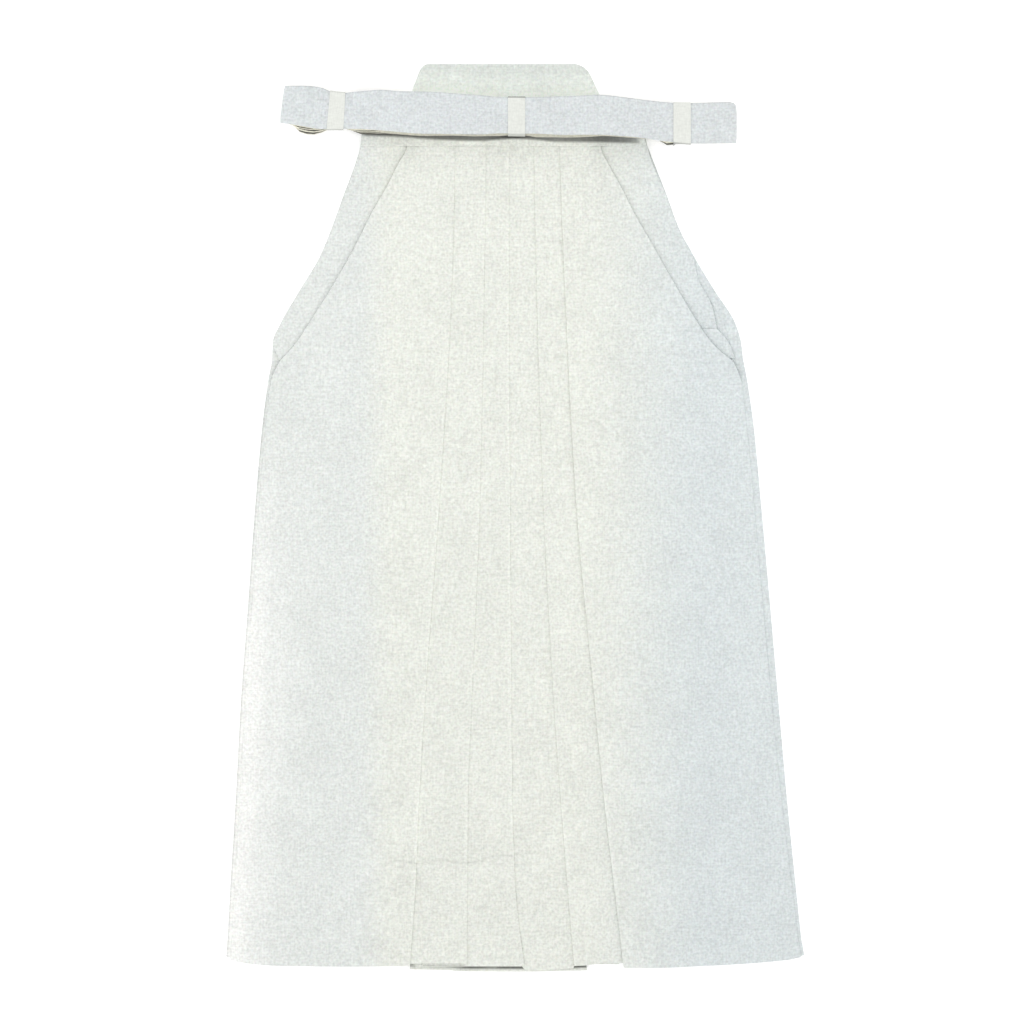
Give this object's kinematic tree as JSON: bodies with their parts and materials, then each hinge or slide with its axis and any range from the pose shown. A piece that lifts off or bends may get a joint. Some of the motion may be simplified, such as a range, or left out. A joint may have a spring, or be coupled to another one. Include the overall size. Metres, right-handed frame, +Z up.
{
  "type": "hakama trousers",
  "caption": "Pleated divided hakama trousers laid flat, front up, with knife pleats, leaf folds at the side openings, stiff back board and ties folded across the waist.",
  "frame": {"origin": "middle of the garment's bounding box, on the surface it lies on", "axes": "+X to the viewer's right across the garment, +Y from the hem to the waist and the back board, +Z up from the surface out of the front of the garment"},
  "size_m": [0.6144, 0.963, 0.0326],
  "materials": {
    "body_cotton": "matte plain-woven white cotton with pressed folds",
    "tie_cotton": "matte plain-woven white cotton, slightly cooler, folded double",
    "board_cotton": "matte white cotton drawn over a stiff board",
    "band_paper": "matte cream paper"
  },
  "bodies": {
    "root": {"back_left": "body_cotton", "back_right": "body_cotton", "gusset": "body_cotton", "leaf_fold_left": "body_cotton", "leaf_fold_right": "body_cotton", "leaf_tip_right": "body_cotton", "front_left": "body_cotton", "front_right": "body_cotton", "front_waistband": "body_cotton", "back_board": "board_cotton", "tie_bundle_core": "tie_cotton", "tie_bundle_top": "tie_cotton", "paper_band_left": "band_paper", "paper_band_centre": "band_paper", "paper_band_right": "band_paper"}
  },
  "joints": []
}
